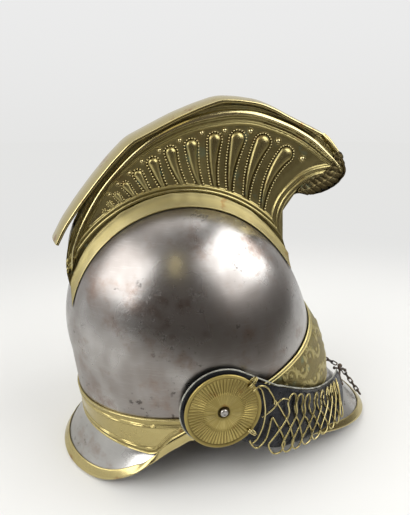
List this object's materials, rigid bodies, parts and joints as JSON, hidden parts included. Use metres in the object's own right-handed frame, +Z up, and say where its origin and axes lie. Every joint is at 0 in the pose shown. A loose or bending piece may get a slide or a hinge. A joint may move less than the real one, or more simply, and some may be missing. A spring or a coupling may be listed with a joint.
{
  "type": "crested cavalry helmet",
  "caption": "Steel cavalry helmet with embossed brass crest, bands, visor, neck guard, rosettes and a swinging wire-covered chin strap.",
  "frame": {"origin": "middle of the bounding box on the table, at the helmet's lowest level", "axes": "+X to the front of the helmet, +Y to the wearer's left, +Z up; the helmet stands on its neck guard and visor tip"},
  "size_m": [0.3281, 0.2246, 0.3268],
  "materials": {
    "steel": "polished once, now with grey-brown patina and fine pits",
    "brass": "aged, olive-yellow with dark recesses",
    "dark_brass": "aged, darker",
    "iron": "dark, lightly rusted",
    "black_leather": "worn, blue-black",
    "pale_piping": "pale edge binding",
    "lining_leather": "brown, worn"
  },
  "bodies": {
    "helmet": {"skull": "steel", "front_band": "brass", "rear_band": "brass", "visor": "steel", "visor_trim": "brass", "neck_guard": "steel", "neck_guard_trim": "brass", "crest_side_right": "brass", "crest_side_left": "brass", "crest_foot_right": "brass", "crest_foot_left": "brass", "crest_cover": "brass", "crest_back_plate": "brass", "crest_front_plate": "brass", "crest_mask": "dark_brass", "crest_brackets": "brass", "crest_bolts": "iron", "crest_nuts": "iron", "rosette_screw_right": "steel", "rosette_screw_left": "steel", "rosette_nut_right": "iron", "rosette_nut_left": "iron", "sweatband": "lining_leather", "liner_tongues": "lining_leather", "draw_lace": "black_leather"},
    "chinstrap_right": {"rosette_right": "brass", "rosette_links_right": "brass", "strap_right": "black_leather", "strap_piping_right": "pale_piping", "strap_loops_right": "brass", "closure_hook": "iron", "chain_tail": "iron"},
    "chinstrap_left": {"rosette_left": "brass", "rosette_links_left": "brass", "strap_left": "black_leather", "strap_piping_left": "pale_piping", "strap_loops_left": "brass", "closure_chain": "iron"}
  },
  "joints": [
    {"name": "right_strap_swing", "type": "hinge", "parent": "helmet", "child": "chinstrap_right", "pos_m": [-0.0295, 0, 0.081], "axis": [0, -1, 0], "range_deg": [0, 22]},
    {"name": "left_strap_swing", "type": "hinge", "parent": "helmet", "child": "chinstrap_left", "pos_m": [-0.0295, 0, 0.081], "axis": [0, -1, 0], "range_deg": [0, 22]}
  ],
  "couplings": [
    {"joint": "left_strap_swing", "follows": "right_strap_swing", "ratio": 1}
  ]
}
